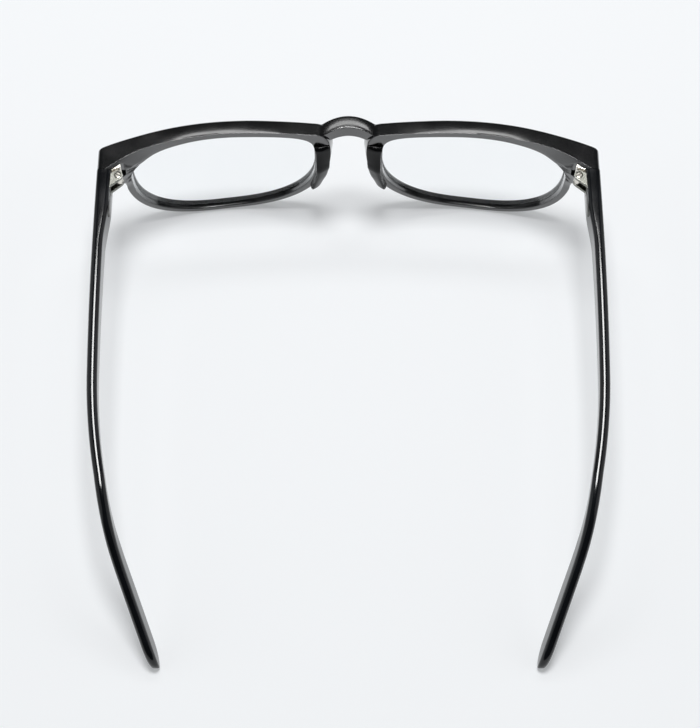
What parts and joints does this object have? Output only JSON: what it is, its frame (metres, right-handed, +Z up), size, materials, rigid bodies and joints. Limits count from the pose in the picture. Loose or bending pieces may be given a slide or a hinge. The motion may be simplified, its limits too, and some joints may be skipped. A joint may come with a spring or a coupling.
{
  "type": "reading glasses",
  "caption": "Square full-rim reading glasses: acetate front, clear lenses, nose pads and folding temples on spring hinges.",
  "frame": {"origin": "middle of the bounding box in X and Y, on the surface the open glasses rest on", "axes": "+X to the wearer's right, +Y out through the front, +Z up; the temples run back to -Y"},
  "size_m": [0.1416, 0.1496, 0.0396],
  "materials": {
    "front_acetate": "polished",
    "temple_acetate": "polished",
    "pad_acetate": "polished",
    "lens": "clear, polished",
    "hinge_metal": "pale nickel silver, satin",
    "screw_steel": "satin",
    "spring_steel": "drawn wire",
    "core_wire": "drawn wire"
  },
  "bodies": {
    "front": {"front_frame": "front_acetate", "left_lens": "lens", "right_lens": "lens", "left_nose_pad": "pad_acetate", "right_nose_pad": "pad_acetate", "left_front_hinge_leaf": "hinge_metal", "right_front_hinge_leaf": "hinge_metal"},
    "left_pivot": {"left_hinge_screw": "screw_steel"},
    "left_carriage": {"left_hinge_slider": "hinge_metal"},
    "left_arm": {"left_temple": "temple_acetate", "left_spring_housing": "hinge_metal", "left_spring_retainer": "spring_steel", "left_hinge_spring": "spring_steel", "left_core_wire": "core_wire"},
    "right_pivot": {"right_hinge_screw": "screw_steel"},
    "right_carriage": {"right_hinge_slider": "hinge_metal"},
    "right_arm": {"right_temple": "temple_acetate", "right_spring_housing": "hinge_metal", "right_spring_retainer": "spring_steel", "right_hinge_spring": "spring_steel", "right_core_wire": "core_wire"}
  },
  "joints": [
    {"name": "left_flex", "type": "hinge", "parent": "front", "child": "left_pivot", "pos_m": [-0.0642, 0.05665, 0.03544], "axis": [0, 0, -1], "range_deg": [0, 7.3], "stiffness_Nm_per_rad": 0.15},
    {"name": "left_fold", "type": "hinge", "parent": "left_pivot", "child": "left_carriage", "pos_m": [-0.0642, 0.05665, 0.03544], "axis": [0, 0, 1], "range_deg": [0, 87]},
    {"name": "left_spring_slide", "type": "slide", "parent": "left_carriage", "child": "left_arm", "axis": [0, -1, 0], "range_m": [0, 0.0007332], "deforming": ["left_hinge_spring"]},
    {"name": "right_flex", "type": "hinge", "parent": "front", "child": "right_pivot", "pos_m": [0.0642, 0.05665, 0.03544], "axis": [0, 0, 1], "range_deg": [0, 7.3], "stiffness_Nm_per_rad": 0.15},
    {"name": "right_fold", "type": "hinge", "parent": "right_pivot", "child": "right_carriage", "pos_m": [0.0642, 0.05665, 0.03544], "axis": [0, 0, -1], "range_deg": [0, 62]},
    {"name": "right_spring_slide", "type": "slide", "parent": "right_carriage", "child": "right_arm", "axis": [0, -1, 0], "range_m": [0, 0.0007332], "deforming": ["right_hinge_spring"]}
  ],
  "couplings": [
    {"joint": "left_spring_slide", "follows": "left_flex", "m_per_rad": 0.0057546},
    {"joint": "right_spring_slide", "follows": "right_flex", "m_per_rad": 0.0057546}
  ]
}
